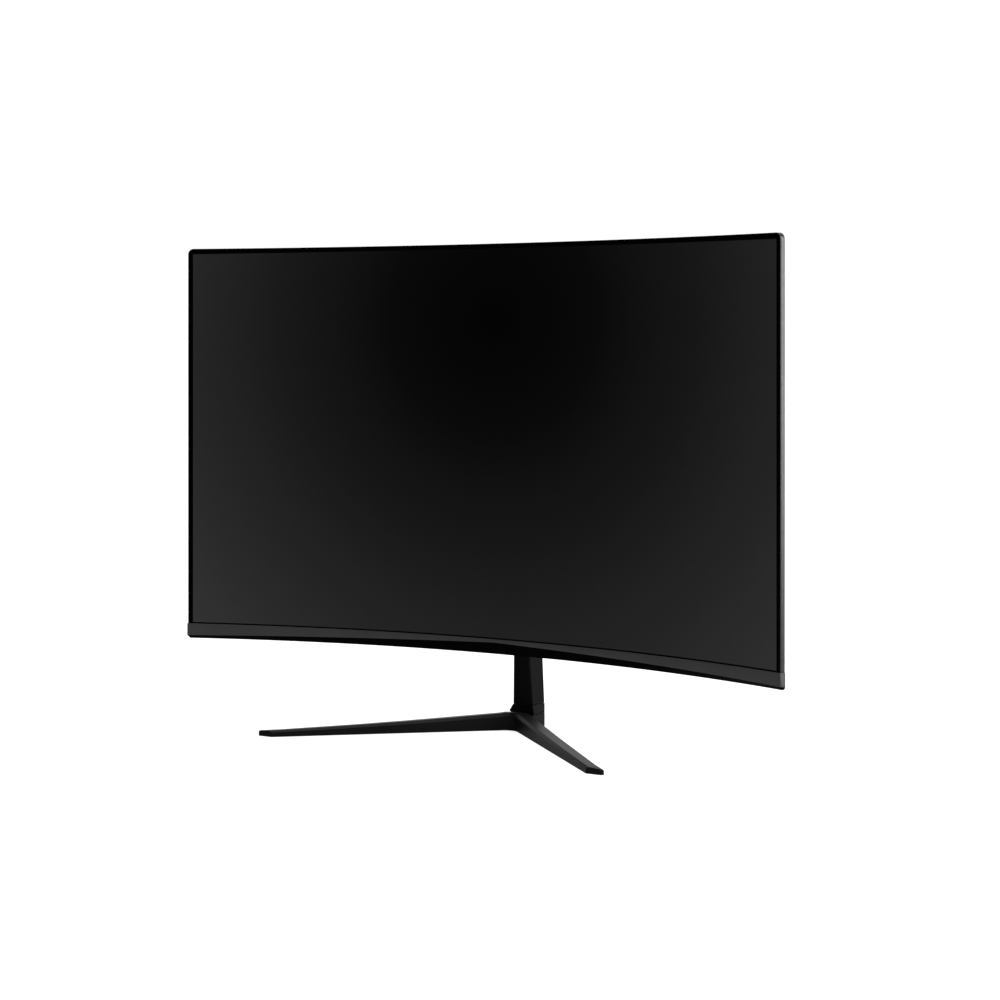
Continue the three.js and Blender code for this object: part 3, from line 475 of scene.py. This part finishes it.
def make_chin():
    """The grey face of the chin and the bevel under it, which is painted near black as shade, meeting in one
    fine rounded edge.
    """
    turns = [math.radians(7.5 * i) for i in range(12)]
    ends = [CHIN_HALF_ARC - CHIN_CORNER * (1 - math.cos(turn)) for turn in turns]
    stops = ([-arc for arc in ends] + arc_stops(CHIN_HALF_ARC - CHIN_CORNER, CURVE_STEPS) + ends[::-1])
    wall = 1.9 * MM
    made = bmesh.new()
    rows = []
    for arc in stops:
        low, arris = chin_bottom(arc), chin_arris(arc)
        solid_end = abs(arc) > CHIN_HALF_ARC - wall
        inner = FRAME_SEAM if solid_end else 1.9 * MM
        shelf = CHIN_TOP if solid_end else 94.3 * MM
        lip = FRAME_SEAM if solid_end else -0.3 * MM
        inner_low = CHIN_TOP if solid_end else 92.5 * MM
        outline = [(CHIN_FRONT, CHIN_TOP), (CHIN_FRONT, arris), (CHIN_BEVEL_DEPTH, low), (FRAME_SEAM, low),
                   (FRAME_SEAM, CHIN_TOP if solid_end else 84.8 * MM), (inner, inner_low), (inner, shelf),
                   (lip, shelf), (lip, CHIN_TOP)]
        outline = rounded(outline, [0.3 * MM, 0.3 * MM, 0.5 * MM, 0.2 * MM, 0, 0, 0, 0, 0])
        rows.append([made.verts.new(on_curve(arc, depth, z)) for depth, z in outline])
    count = len(rows[0])
    for row, following in zip(rows, rows[1:]):
        for j in range(count):
            k = (j + 1) % count
            face = made.faces.new((row[j], row[k], following[k], following[j]))
            # the bevel, the underside and the back take the painted-shade material
            face.material_index = 1 if 5 <= j <= 16 else 0
    made.faces.new(list(reversed(rows[0])))
    made.faces.new(rows[-1])
    bmesh.ops.dissolve_degenerate(made, dist=1e-7, edges=made.edges)
    bmesh.ops.recalc_face_normals(made, faces=made.faces)
    mesh = bpy.data.meshes.new("chin")
    made.to_mesh(mesh)
    made.free()
    smooth_by_angle(mesh, 35)
    add_piece("chin_finish", mesh, "chin_bezel", [MATERIALS["chin_plastic"], BEVEL_PAINTED_SHADE])


# ---- everything else starts from its CAD node ----
EASED = {
    "v_base": (0.9 * MM, 3), "neck_collar": (0.5 * MM, 2), "neck_front_cover": (0.5 * MM, 2),
    "neck_rear_cover": (0.3 * MM, 2), "hinge_fork": (0.5 * MM, 2), "hinge_plate": (0.5 * MM, 2),
    "base_thumbscrew": (0.3 * MM, 2),
}


def make_rear_cover():
    """The moulded cover: smooth along its curve, with crisp edges where its faces meet."""
    mesh = frame["nodes"]["rear_cover"].data.copy()
    mesh.materials.clear()
    made = bmesh.new()
    made.from_mesh(mesh)
    bmesh.ops.remove_doubles(made, verts=made.verts, dist=0.002 * MM)
    made.to_mesh(mesh)
    made.free()
    smooth_by_angle(mesh, 6)
    add_piece("rear_cover_finish", mesh, "rear_cover")


def dress_the_rest():
    for node, (width, segments) in EASED.items():
        eased(node, width, segments)
    done = set(EASED) | {"lcd_panel", "front_frame", "chin_bezel", "rear_cover"}
    for node, obj in frame["nodes"].items():
        if node in done:
            continue
        for slot in obj.material_slots:
            slot.material = MATERIALS[SLOT_OF[node]]


make_camera()
make_world()
make_floor()
make_screen()
make_front_frame()
make_chin()
make_rear_cover()
dress_the_rest()

area_light("top", (0.3, -0.6, 2.6), (0, 0, 0.3), (2.4, 2.4), 50)
area_light("right_strip", (2.4, 0.9, 0.7), (0, 0, 0.3), (0.45, 2.2), 60)

bpy.context.scene.view_settings.view_transform = "Standard"
